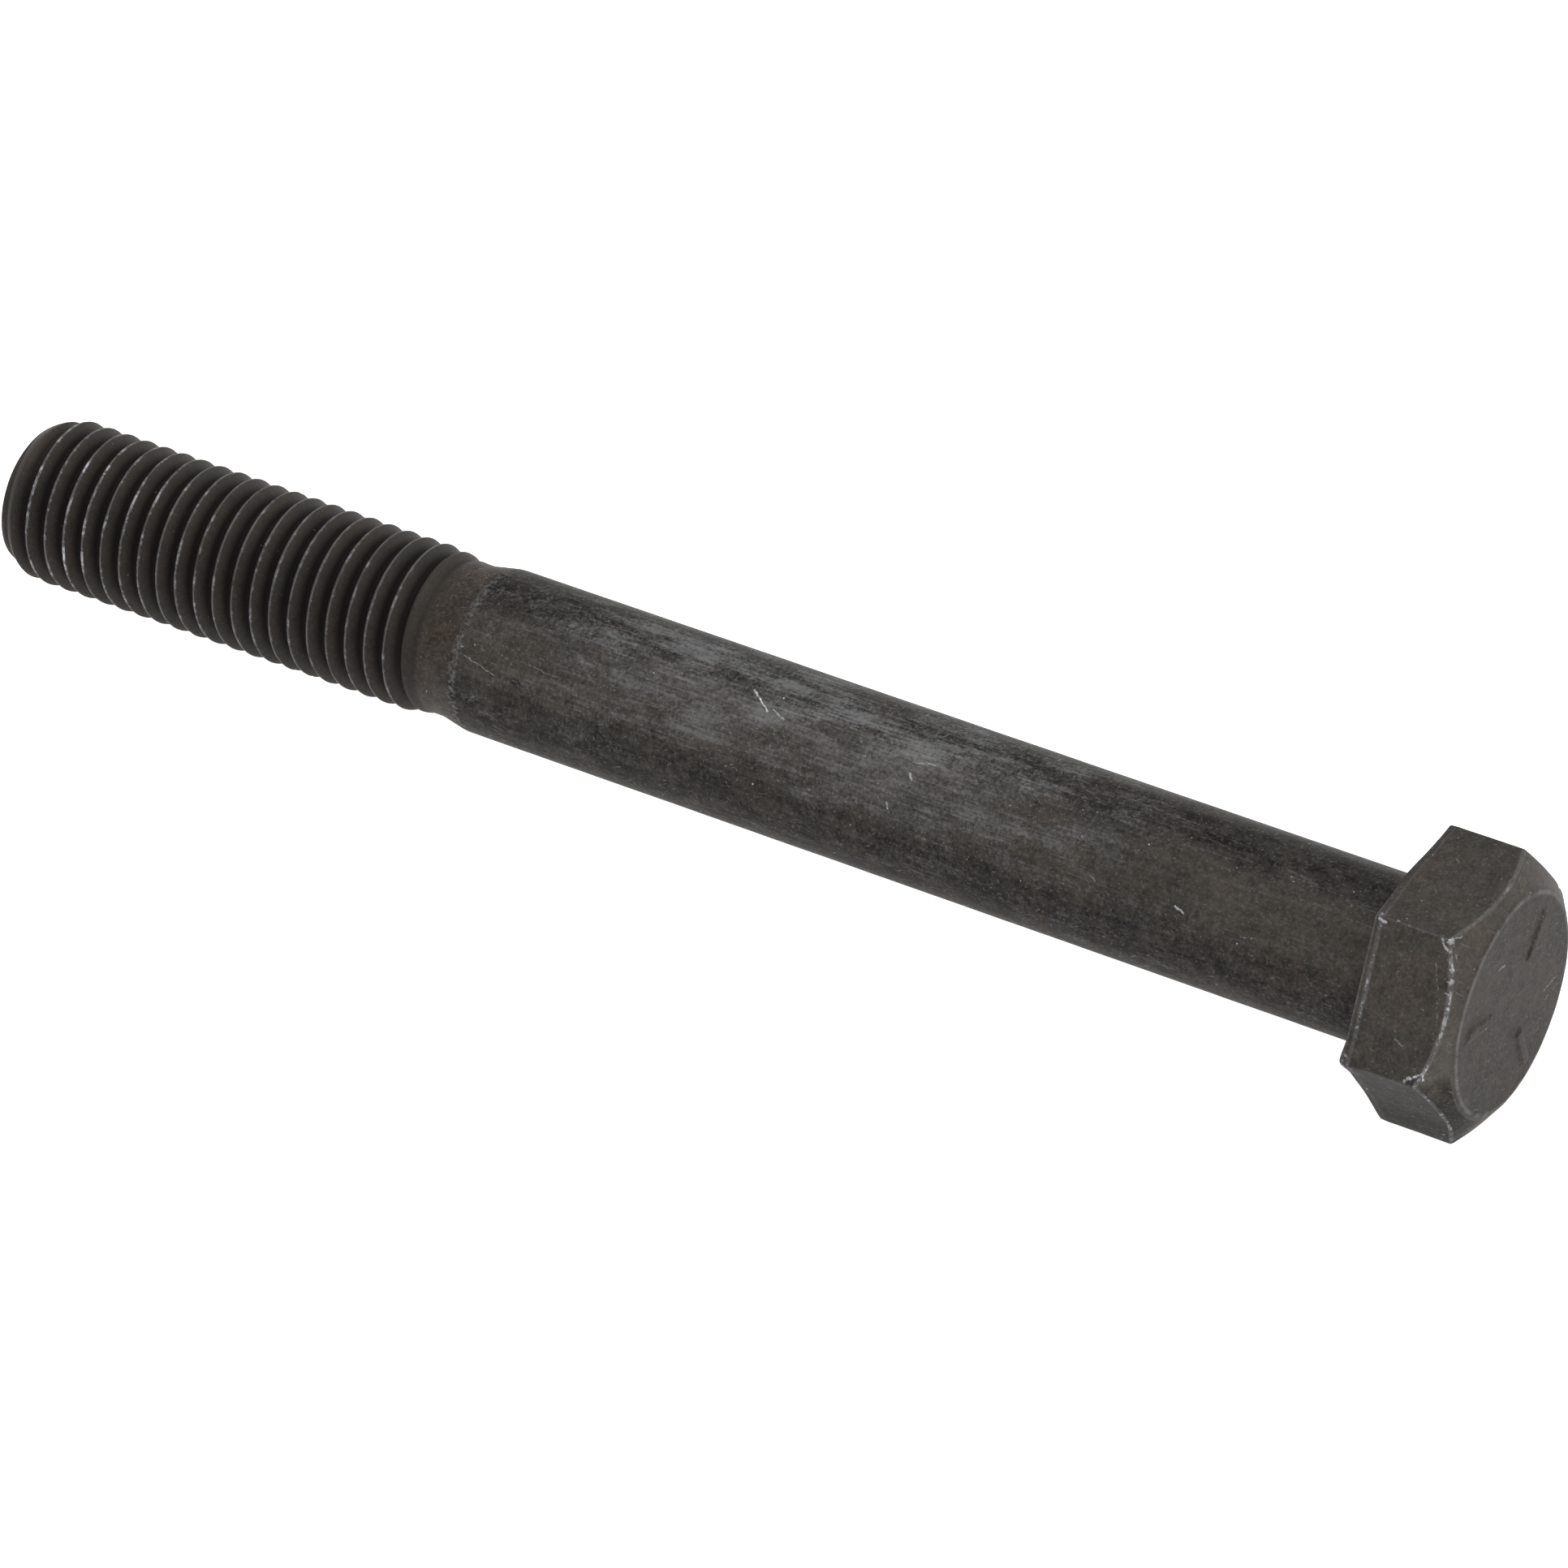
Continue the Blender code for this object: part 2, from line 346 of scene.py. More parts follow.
def mark_light(bench, spot, start, end, width, bright):
    """How bright a spot is for its distance from a straight mark."""
    run = end - start
    way = run.normalized()
    away = bench.vector("SUBTRACT", spot, start)
    reach = bench.held(bench.vector("DOT_PRODUCT", away, way), 0.0, run.length)
    near = bench.out("ShaderNodeVectorMath", {0: way, "Scale": reach}, operation="SCALE")
    gap = bench.vector("DISTANCE", away, near)
    return bench.ramp(gap, width * MM * 0.25, width * MM * 0.50, bright, 0.0)


class Steel:
    """Masks and noise layers of the bolt's surface, which its finish is mixed from."""

    def __init__(self, bench, sizes):
        self.bench = bench
        self.place = bench.out("ShaderNodeTexCoord", socket="Object")
        self.along, self.across, self.up = bench.split(self.place)
        self.radius = bench.math("SQRT", self.across * self.across + self.up * self.up)
        self.outmost = self.radius - sizes.crest_radius
        self.disc_radius = sizes.across_flats / 2 - sizes.top_inset
        self.cone_slope = math.tan(sizes.chamfer_slope)

        head_x = -sizes.head_height
        neck_x = LOW.x + sizes.thread_length + sizes.runout_length
        self.shank_x = neck_x + sizes.neck_length + sizes.shoulder_length
        self.on_thread = bench.ramp(self.along, neck_x - 1.5 * MM, neck_x + 0.6 * MM, 1.0, 0.0)
        shoulder = (self.shank_x - 0.9 * MM, self.shank_x + 0.5 * MM)
        below_head = bench.ramp(self.along, head_x - 0.3 * MM, head_x, 1.0, 0.0)
        self.on_shank = bench.ramp(self.along, *shoulder) * below_head
        self.on_head = bench.ramp(self.along, head_x - 0.2 * MM, head_x + 0.2 * MM)
        elsewhere = self.on_thread + self.on_shank + self.on_head
        self.on_neck = 1.0 - bench.math("MINIMUM", 1.0, elsewhere)
        self.on_disc = bench.ramp(self.along, -0.5 * MM, -0.1 * MM)
        self.calm = 1.0 - self.on_thread * 0.7

        self.mottle = bench.noise(self.place, 1.5 * MM, 5.0, 0.68, 2.0)
        self.speckle = bench.noise(self.place, 0.42 * MM, 3.0, 0.65, 3.0)
        self.streak = self.drawn_out(0.12, 1.0 * MM, 4.0, 0.65, 5.0)
        self.hair = self.drawn_out(0.045, 0.26 * MM, 2.0, 0.6, 6.0)
        self.edge_fine = bench.noise(self.place, 0.5 * MM, 3.0, 0.7, 9.0)

        # The shank's upper side, over the stretch that is rubbed most and carries a painted sheen.
        self.upper = self.toward(RUBBED_SHEEN_SIDE, 0.40, 0.98)
        self.stretch = bench.band(self.along, *RUBBED_SHEEN_STRETCH)

    def drawn_out(self, squeeze, size, detail, roughness, seed):
        """Noise drawn out along the axis."""
        drawn = self.bench.vector("MULTIPLY", self.place, (squeeze, 1.0, 1.0))
        return self.bench.noise(drawn, size, detail, roughness, seed)

    def toward(self, degrees, *ramp):
        """A ramp on the cosine of the angle about the axis away from that many degrees."""
        turn = math.radians(degrees)
        reach = self.across * math.cos(turn) + self.up * math.sin(turn)
        return self.bench.ramp(reach / self.radius, *ramp)


def coat_with_painted_light(bench, steel, look):
    """Brown and grey phosphate, from broad clouds to fine grain, with painted shade and a painted
    highlight laid into it.
    """
    cloud = bench.ramp(bench.noise(steel.place, 6.0 * MM, 4.0, 0.6, 1.0), 0.38, 0.62)
    coat = bench.tint(cloud, rgba(look.coat_brown), rgba(look.coat_green))
    # A painted highlight on the chamfer cone, on one side of the head.
    below_cone = steel.along + (steel.radius - steel.disc_radius) * steel.cone_slope
    painted_cone_highlight = bench.ramp(below_cone, -0.60 * MM, -0.15 * MM) * steel.toward(
        CONE_SIDE, -0.30, 0.50
    )
    off_disc = bench.ramp(steel.on_disc, 0.0, 0.5, 1.0, 0.0)
    # Painted shade on the head's lowest flat.
    painted_low_flat_shade = steel.toward(LOW_FLAT_SIDE, 0.84, 0.90) * steel.on_head * off_disc
    past_end = bench.ramp(steel.along, LOW.x + 0.1 * MM, LOW.x + 1.0 * MM, 0.3, 1.0)
    # Painted shade over the thread, deepest on its lower side.
    shade = steel.toward(THREAD_SHADE_SIDE, -0.30, 0.95, -0.08, -0.44)
    tone_with_painted_light = (
        1.0
        + bench.ramp(steel.mottle, 0.28, 0.72, -0.25, 0.25) * steel.calm
        + bench.ramp(steel.speckle, 0.25, 0.75, -0.27, 0.27) * steel.calm
        + (steel.streak - 0.5) * 1.1 * steel.on_shank
        # Painted shade: darker under the shank and along its top edge.
        + steel.toward(UNDER_SIDE, 0.40, 0.98) * steel.on_shank * -0.62
        + steel.toward(BROW_SIDE, 0.70, 0.98) * steel.on_shank * -0.55
        + steel.on_neck * -0.22
        # Painted shade on the head's top disc.
        + steel.on_disc * -0.25
        + painted_cone_highlight * 0.45
        + painted_low_flat_shade * -0.74
        + steel.on_thread * past_end * shade
    )
    return bench.tint(1.0, coat, bench.grey(bench.math("MAXIMUM", tone_with_painted_light, 0.15)), "MULTIPLY")


def rubbed_and_sheen(bench, steel):
    """The shank is rubbed pale in long broken patches and hairlines, and a painted sheen lies along
    its upper side.
    """
    rub_and_sheen = bench.ramp(
        steel.drawn_out(0.30, 2.4 * MM, 6.0, 0.72, 7.0)
        + steel.upper * steel.stretch * 0.27
        + (steel.speckle - 0.5) * 0.50
        + (steel.hair - 0.5) * 0.42 * steel.on_shank,
        0.52,
        1.06,
    )
    rub_and_sheen = rub_and_sheen * steel.on_shank * bench.ramp(rub_and_sheen, 0.0, 0.8, 0.55, 1.0)
    hairs = bench.ramp(steel.hair, 0.56, 0.74) * steel.on_shank * (0.15 + steel.upper * 0.85)
    return bench.math("MINIMUM", 1.0, rub_and_sheen * 0.95 + hairs * 0.15)


def pale_flecks(bench, steel):
    """Pale flecks and short scratches at several angles, brighter under the painted sheen, the
    shoulder's line with a painted highlight, and the disc's rim.
    """
    pale = bench.ramp(steel.speckle, 0.60, 0.78, 0.0, 0.30)
    for turn, seed in FLECK_TURNS:
        turn = math.radians(turn)
        tilted = bench.out(
            "ShaderNodeVectorRotate",
            {"Vector": steel.place, "Rotation": (0.3, turn, turn)},
            rotation_type="EULER_XYZ",
        )
        thin = bench.vector("MULTIPLY", tilted, (0.12, 1.0, 1.0))
        fleck = bench.ramp(bench.noise(thin, 0.24 * MM, 2.0, 0.5, seed), 0.63, 0.75, 0.0, 0.55)
        pale = bench.largest(pale, fleck)
    # The flecks are brighter where the painted sheen lies.
    pale = pale * steel.calm * (0.8 + steel.upper * steel.stretch * 0.9)
    # The shoulder's pale line is worn steel with a painted highlight, brightest on one side.
    shoulder = (
        bench.band(steel.along, steel.shank_x + 0.1 * MM, 0.15 * MM, 0.6 * MM)
        * bench.ramp(steel.speckle, 0.42, 0.62)
        * steel.toward(SHOULDER_GLINT_SIDE, 0.0, 0.9, 0.1, 0.5)
    )
    rim = (
        bench.band(steel.radius, steel.disc_radius - 0.15 * MM, 0.10 * MM, 0.25 * MM)
        * steel.on_disc
        * bench.ramp(steel.mottle, 0.35, 0.60, 0.05, 0.45)
    )
    return bench.largest(pale, shoulder, rim)


def crest_wear_and_glint(bench, steel):
    """The crests are rubbed to bare steel in broken lines, over a faint even one; the broken lines
    carry a painted glint, brightest on one side.
    """
    break_up = bench.noise(steel.place, 2.0 * MM, 5.0, 0.78, 8.0)
    knocked = (
        bench.ramp(steel.outmost, -0.110 * MM, -0.020 * MM)
        * bench.ramp(break_up, 0.47, 0.64)
        * steel.toward(CREST_GLINT_SIDE, 0.10, 0.92, 0.20, 1.0)
        * bench.ramp(steel.along, -184 * MM, -150 * MM, 1.0, 0.45)
    )
    even = bench.ramp(steel.outmost, -0.045 * MM, -0.015 * MM, 0.0, 0.17)
    return bench.largest(knocked, even) * steel.on_thread


def worn_edges(bench, steel):
    """The head's edges are chipped bright here and there, over a faint even line."""
    edge = bench.out("ShaderNodeAttribute", socket="Fac", attribute_name="edge_wear")
    edge_broad = bench.noise(steel.place, 3.0 * MM, 2.0, 0.6, 14.0)
    edge_sum = edge + (steel.edge_fine - 0.5) * 0.5 + (edge_broad - 0.5) * 0.7
    even = bench.ramp(edge, 0.80, 0.98, 0.0, 0.16)
    return bench.largest(bench.ramp(edge_sum, 0.98, 1.16), even) * steel.on_head


def straight_marks(bench, steel):
    """Nicks and scratches, their outlines made ragged by noise."""
    inputs = {"Vector": steel.place, "Scale": 1 / (0.7 * MM), "Detail": 3.0}
    ragged = bench.out("ShaderNodeTexNoise", inputs, "Color")
    shift = bench.vector("MULTIPLY", ragged, (MARK_WANDER,) * 3)
    spot = bench.vector("ADD", steel.place, shift)
    spot = bench.vector("SUBTRACT", spot, (MARK_WANDER / 2,) * 3)
    lights = [mark_light(bench, spot, *mark) for mark in all_marks()]
    return bench.largest(*lights) * bench.ramp(steel.edge_fine, 0.30, 0.58, 0.25, 1.0)


def steel_finish(look, sizes):
    """Dark oiled phosphate over forged steel, rubbed and nicked, with painted shade and painted
    highlights in its colour.
    """
    material = bpy.data.materials.new("phosphated_steel_finish")
    material.use_nodes = True
    material.node_tree.nodes.clear()
    bench = Bench(material.node_tree)
    steel = Steel(bench, sizes)

    colour = coat_with_painted_light(bench, steel, look)
    # Rubbed patches and a painted sheen along the shank's upper side.
    worn = rubbed_and_sheen(bench, steel)
    colour = bench.tint(worn, colour, rgba(look.worn_steel_and_sheen))
    pale = pale_flecks(bench, steel)
    colour = bench.tint(pale, colour, rgba(look.worn_steel_and_sheen))

    # Painted shade, with the oil in them, darkens the grooves.
    painted_groove_shade = (
        bench.ramp(steel.outmost, -1.50 * MM, -0.50 * MM, 1.0, 0.0)
        * steel.on_thread
        * bench.ramp(steel.along, LOW.x + 1.2 * MM, LOW.x + 3.4 * MM)
    )
    colour = bench.tint(painted_groove_shade, colour, rgba(look.groove_shade_colour))

    # Bare metal on crests and edges, in dents, as dots and in straight marks; the crests' broken
    # lines also carry a painted glint.
    scar = bench.out("ShaderNodeAttribute", socket="Fac", attribute_name="scar")
    scarred = bench.ramp(scar + (steel.edge_fine - 0.5) * 1.6, 0.45, 0.75)
    dots = bench.noise(steel.place, 0.50 * MM, 1.0, 0.5, 15.0)
    stroked = straight_marks(bench, steel)
    bare_and_glint = bench.largest(
        crest_wear_and_glint(bench, steel) * 0.85,
        worn_edges(bench, steel) * bench.ramp(steel.edge_fine, 0.35, 0.65, 0.28, 0.72),
        scarred * 0.85,
        bench.ramp(dots, 0.755, 0.79, 0.0, 0.6) * steel.calm,
        stroked,
    )
    colour = bench.tint(bare_and_glint, colour, rgba(look.bare_steel))

    speck = bench.noise(steel.place, 0.9 * MM, 2.0, 0.5, 10.0)
    rusty = bench.largest(bench.ramp(speck, 0.72, 0.80, 0.0, 0.7), steel.on_neck * 0.06)
    colour = bench.tint(rusty, colour, rgba(look.rust))

    roughness = 0.40 + steel.mottle * 0.12 + steel.speckle * 0.10 + worn * -0.05
    roughness = roughness + bare_and_glint * -0.08 + rusty * 0.2 + painted_groove_shade * 0.15
    metallic = bench.math("MINIMUM", 1.0, worn * 0.35 + bare_and_glint * 0.9)
    grain = bench.noise(steel.place, 0.16 * MM, 2.0, 0.5, 4.0)
    height = (
        steel.mottle * steel.calm
        + steel.speckle * steel.calm * 0.40
        + grain * 0.18
        + steel.streak * steel.on_shank * 0.6
        + pale * -0.15
        + stroked * -0.8
    )
    bump = {"Strength": 0.8, "Distance": 0.07 * MM, "Height": height}
    shader = bench.out(
        "ShaderNodeBsdfPrincipled",
        {
            "Base Color": colour,
            "Metallic": metallic,
            "Roughness": roughness,
            "Normal": bench.out("ShaderNodeBump", bump),
            "IOR": 1.5,
            "Specular IOR Level": 0.06,
        },
    )
    bench.node("ShaderNodeOutputMaterial", {"Surface": shader})
    return material


def finish_material(context):
    found = bpy.data.materials.get("phosphated_steel_finish")
    return found or steel_finish(context.scene.steel_look, context.scene.bolt_sizes)


SOCKET_KINDS = {int: "NodeSocketInt", float: "NodeSocketFloat"}
ROW_CROWDING = 0.6  # how far rows crowd together at the crests and the roots
CREST_BLEND = 0.45 * MM
ROOT_BLEND = 0.30 * MM
POINT_BLEND = 0.35 * MM


def thread_tree(values):
    """A sheet of rows wound into a helix. Rows beyond either end gather on that end's ring."""
    tree = bpy.data.node_groups.new("rolled_thread_tree", "GeometryNodeTree")
    tree.interface.new_socket("Geometry", in_out="OUTPUT", socket_type="NodeSocketGeometry")
    for name, value in values.items():
        kind = SOCKET_KINDS.get(type(value), "NodeSocketMaterial")
        tree.interface.new_socket(name, in_out="INPUT", socket_type=kind)
    bench = Bench(tree)
    given = {socket.name: Value(bench, socket) for socket in bench.node("NodeGroupInput").outputs}
    rows = given["Turns"] * given["Steps Per Pitch"]
    sheet = bench.out(
        "GeometryNodeMeshGrid",
        {
            "Size X": rows,
            "Size Y": given["Steps Per Turn"],
            "Vertices X": rows + 1,
            "Vertices Y": given["Steps Per Turn"] + 1,
        },
    )
    flat_x, flat_y, _ = bench.split(bench.out("GeometryNodeInputPosition"))
    row = bench.math("ROUND", flat_x + rows / 2)
    step = bench.math("ROUND", flat_y + given["Steps Per Turn"] / 2)
    turn = step / given["Steps Per Turn"]
    cosine = bench.math("COSINE", turn * math.tau)
    sine = bench.math("SINE", turn * math.tau)
    count = row / given["Steps Per Pitch"]
    crowded = bench.math("SINE", count * (2 * math.tau)) * (-ROW_CROWDING / (2 * math.tau))
    along = given["Crest Place"] + given["Pitch"] * (count + crowded + turn)
    along = bench.held(along, given["End Place"], given["Neck Place"])

    # How far a spot is from its crest line, and how far the thread has run out there.
    phase = (along - given["Crest Place"]) / given["Pitch"] - turn
    off = bench.math("ABSOLUTE", phase - bench.math("ROUND", phase)) * given["Pitch"]
    sunk = bench.held((along - given["Full Thread Place"]) / given["Run-out Length"], 0.0, 1.0)
    risen = bench.math("MINIMUM", 1.0, sunk * 1.05)
    crest = bench.blend(sunk, given["Crest Radius"], given["Neck Radius"])
    root = bench.blend(risen, given["Root Radius"], given["Neck Radius"])
    drop = (off - given["Crest Width"] * 0.5) * given["Flank Slope"]
    radius = bench.math("SMOOTH_MIN", given["Crest Radius"] - drop, crest, CREST_BLEND)
    radius = bench.math("SMOOTH_MAX", radius, root, ROOT_BLEND)

    # Nicks and unevenness of the rolled crests.
    spot = bench.point(along, given["Crest Radius"] * cosine, given["Crest Radius"] * sine)
    broad = bench.noise(spot, 5.0 * MM, 2.0, 0.5, given["Seed"])
    sharp = bench.noise(spot, 0.9 * MM, 2.0, 0.5, given["Seed"] + 5.0)
    near_crest = bench.ramp(crest - radius, 0.0, 0.35 * MM, 1.0, 0.0)
    nick = bench.ramp(sharp, 0.62, 0.76) * near_crest * given["Nick Depth"]
    radius = radius + (broad - 0.5) * near_crest * given["Wave Height"] - nick

    point = given["Point Radius"] + (along - given["End Place"]) * given["Point Slope"]
    radius = bench.math("SMOOTH_MIN", radius, point, POINT_BLEND)
    radius = bench.blend(bench.ramp(sunk, 0.80, 1.0), radius, given["Neck Radius"])

    place = bench.point(along, radius * cosine, radius * sine)
    thread = bench.out("GeometryNodeSetPosition", {"Geometry": sheet, "Position": place})
    thread = bench.out("GeometryNodeMergeByDistance", {"Geometry": thread, "Distance": WELD})
    thread = bench.out("GeometryNodeSetShadeSmooth", {"Geometry": thread})
    thread = bench.out("GeometryNodeRealizeInstances", {"Geometry": thread})
    dressing = {"Geometry": thread, "Material": given["Finish"]}
    thread = bench.out("GeometryNodeSetMaterial", dressing)
    bench.node("NodeGroupOutput", {"Geometry": thread})
    return tree


def thread_values(sizes, finish):
    """The thread tree's inputs by name."""
    full_place = LOW.x + sizes.thread_length
    neck_place = full_place + sizes.runout_length
    turns = math.ceil((neck_place - sizes.crest_place) / sizes.pitch) + 1
    flank = (sizes.pitch - sizes.crest_width - sizes.root_width) / 2
    return {
        "Turns": turns,
        "Steps Per Turn": TURN_STEPS,
        "Steps Per Pitch": PITCH_STEPS,
        "Pitch": sizes.pitch,
        "Crest Place": sizes.crest_place,
        "End Place": LOW.x,
        "Full Thread Place": full_place,
        "Neck Place": neck_place,
        "Run-out Length": sizes.runout_length,
        "Crest Radius": sizes.crest_radius,
        "Root Radius": sizes.crest_radius - sizes.thread_depth,
        "Neck Radius": sizes.neck_radius,
        "Crest Width": sizes.crest_width,
        "Flank Slope": sizes.thread_depth / flank,
        "Point Radius": sizes.point_radius,
        "Point Slope": (sizes.crest_radius - sizes.point_radius) / sizes.point_length,
        "Nick Depth": 0.10 * MM,
        "Wave Height": 0.10 * MM,
        "Seed": 3.0,
        "Finish": finish,
    }


def add_object(name, data):
    made = bpy.data.objects.new(name, data)
    bpy.context.scene.collection.objects.link(made)
    return made


def grow(name, tree, values):
    """Runs a tree on an empty mesh and keeps its result as a plain mesh object."""
    carrier = add_object(name, bpy.data.meshes.new(name))
    modifier = carrier.modifiers.new("grow", "NODES")
    modifier.node_group = tree
    identifiers = {
        item.name: item.identifier
        for item in tree.interface.items_tree
        if item.item_type == "SOCKET" and item.in_out == "INPUT"
    }
    for key, value in values.items():
        modifier[identifiers[key]] = value
    evaluated = carrier.evaluated_get(bpy.context.evaluated_depsgraph_get())
    mesh = bpy.data.meshes.new_from_object(evaluated)
    carrier.modifiers.remove(modifier)
    carrier.data = mesh
    if not mesh.polygons:
        raise RuntimeError(f"{name} came out empty")
    return carrier


def even_angles(count):
    return np.arange(count) * math.tau / count


def around(angles, points):
    """Points of one ring from its angles and its (radius, place along the axis) pairs."""
    return np.column_stack(
        [points[:, 1], points[:, 0] * np.cos(angles), points[:, 0] * np.sin(angles)]
    )


def stitched(rings):
    """Faces between neighbouring rings. A ring may have half as many points as the one before."""
    faces = []
    start = 0
    for ring, after in zip(rings, rings[1:]):
        count, next_start = len(ring), start + len(ring)
        if len(after) == count:
            for index in range(count):
                on = (index + 1) % count
                faces.append((start + index, start + on, next_start + on, next_start + index))
        else:
            for index in range(len(after)):
                on = (index + 1) % len(after)
                first, middle, last = 2 * index, 2 * index + 1, (2 * index + 2) % count
                faces.append((start + first, start + middle, next_start + index))
                faces.append((start + middle, next_start + on, next_start + index))
                faces.append((start + middle, start + last, next_start + on))
        start = next_start
    return faces


def part_from_rings(name, rings, marks, pole=None):
    """A smooth shell through the rings. marks holds one array of edge wear for each ring."""
    vertices = np.concatenate(rings)
    faces = stitched(rings)
    wear = np.concatenate(marks)
    if pole is not None:
        count = len(rings[0])
        tip = len(vertices)
        vertices = np.vstack([vertices, pole])
        wear = np.append(wear, 0.0)
        faces += [(tip, index, (index + 1) % count) for index in range(count)]
    mesh = bpy.data.meshes.new(name)
    mesh.from_pydata(vertices.tolist(), [], faces)
    mesh.attributes.new("edge_wear", "FLOAT", "POINT").data.foreach_set("value", wear)
    return add_object(name, mesh)


def shank_rings(sizes):
    """From the neck up to the fillet's foot."""
    neck = LOW.x + sizes.thread_length + sizes.runout_length
    cone = neck + sizes.neck_length
    body = cone + sizes.shoulder_length
    top = -sizes.head_height - sizes.fillet - JOIN_GAP
    slope = (sizes.shank_radius - sizes.neck_radius) / sizes.shoulder_length
    ease = 0.4 * MM  # half the length over which a bend is rounded

    outline = [(sizes.neck_radius, place) for place in np.linspace(neck, cone - ease, 3)]
    for share in (0.35, 0.65, 1.0):
        place = cone - ease + 2 * ease * share
        outline.append((sizes.neck_radius + slope * ease * share**2, place))
    for place in np.linspace(cone + ease, body - ease, 9)[1:]:
        outline.append((sizes.neck_radius + slope * (place - cone), place))
    for share in (0.2, 0.4, 0.6, 0.8, 1.0):
        place = body - ease + 2 * ease * share
        outline.append((sizes.shank_radius - slope * ease * (1 - share) ** 2, place))
    outline += [(sizes.shank_radius, place) for place in np.linspace(body + ease, top, 106)[1:]]
    angles = even_angles(TURN_STEPS)
    return [around(angles, np.tile(pair, (TURN_STEPS, 1))) for pair in outline]


# Places round the head, in degrees about the axis, that differ from the rest.
FULL_CORNER = 240
FULL_CORNER_RISE = 0.42 * MM
DEEP_CHAMFER_SIDE = 207
LIP_SIDE = 93
LIP_RISE = 0.34 * MM
KNOCKED_FLAT = 149
KNOCKED_CORNER = 120
SETTLING_ROWS = 12  # rows over which the head's angles become even


def off_corner(angles):
    """How far each angle is from the nearest corner."""
    return angles - np.round(angles / SIDE_TURN) * SIDE_TURN


def hex_reach(angles, flat_radius, rounding):
    """Distance from the axis out to the six flats, with rounded corners."""
    off = off_corner(angles)
    half = SIDE_TURN / 2
    flat = flat_radius / np.cos(half - np.abs(off))
    centre = (flat_radius - rounding) / math.cos(half)
    touch = half - np.arctan((flat_radius - rounding) * math.tan(half) / flat_radius)
    inside = np.maximum(rounding**2 - (centre * np.sin(off)) ** 2, 0.0)
    arc = centre * np.cos(off) + np.sqrt(inside)
    return np.where(np.abs(off) < touch, arc, flat)


def head_angles():
    """Angles round the head, close together at the six corners."""
    near = 5
    corner_span = math.radians(1.6)
    close = np.linspace(0, corner_span, near + 1)[:-1]
    middle_steps = HEAD_STEPS // HEX_SIDES - 2 * near
    middle = np.linspace(corner_span, SIDE_TURN - corner_span, middle_steps + 1)
    far = SIDE_TURN - np.linspace(corner_span, 0, near + 1)[1:-1]
    one = np.concatenate([close, middle, far])
    return np.concatenate([one + SIDE_TURN * index for index in range(HEX_SIDES)])


def ripple(angles, size, seed):
    """Even noise round the head, about -1 to 1, with bumps of that size in metres."""
    reach = HIGH.y / size
    spots = (Vector((math.cos(a) * reach, math.sin(a) * reach, seed)) for a in angles)
    return np.array([noise.noise(spot) for spot in spots])


def rounded(before, corner, after, reach, steps):
    """Rows of points that round a corner between two straight runs, for all columns at once."""
    back = before - corner
    on = after - corner
    back /= np.linalg.norm(back, axis=1)[:, None]
    on /= np.linalg.norm(on, axis=1)[:, None]
    start, end = corner + back * reach[:, None], corner + on * reach[:, None]
    rows = []
    for share in np.linspace(0, 1, steps):
        rows.append((1 - share) ** 2 * start + 2 * share * (1 - share) * corner + share**2 * end)
    return rows


def between(start, end, steps, crowding=0.7):
    """Rows between two rows, without either, closer together near both."""
    rows = []
    for share in np.linspace(0, 1, steps + 2)[1:-1]:
        share -= crowding * math.sin(math.tau * share) / math.tau
        rows.append(start + (end - start) * share)
    return rows


def pairs(radius, place):
    return np.column_stack(np.broadcast_arrays(radius, place)).astype(float)


class HeadRows:
    """Rows of points from the head's middle outwards and down, with their edge wear."""

    def __init__(self, columns):
        self.columns = columns
        self.rows = []
        self.marks = []

    def lay(self, rows, marks):
        self.rows += rows
        self.marks += [np.broadcast_to(mark, self.columns).copy() for mark in marks]

    def bend(self, before, corner, after, reach, steps, mark):
        """Rows that round a corner. Returns the last of them."""
        rows = rounded(before, corner, after, reach, steps)
        self.lay(rows, [mark] * steps)
        return rows[-1]

    def run(self, start, corner, reach, before, steps, strengths):
        """Straight rows up to where the next bend begins; wear fades away from both edges."""
        back = before - corner
        back /= np.linalg.norm(back, axis=1)[:, None]
        end = corner + back * reach[:, None]
        rows = between(start, end, steps)
        marks = []
        for row in rows:
            worn = [
                strength * np.clip(1 - np.linalg.norm(row - edge, axis=1) / EDGE_FADE, 0, 1)
                for strength, edge in zip(strengths, (start, end))
            ]
            marks.append(np.maximum(*worn))
        self.lay(rows, marks)


def bump_at(angles, middle, width):
    """A smooth bump round the head, one at the middle; both in degrees."""
    return np.exp(-(((np.degrees(angles) - middle) / width) ** 2))


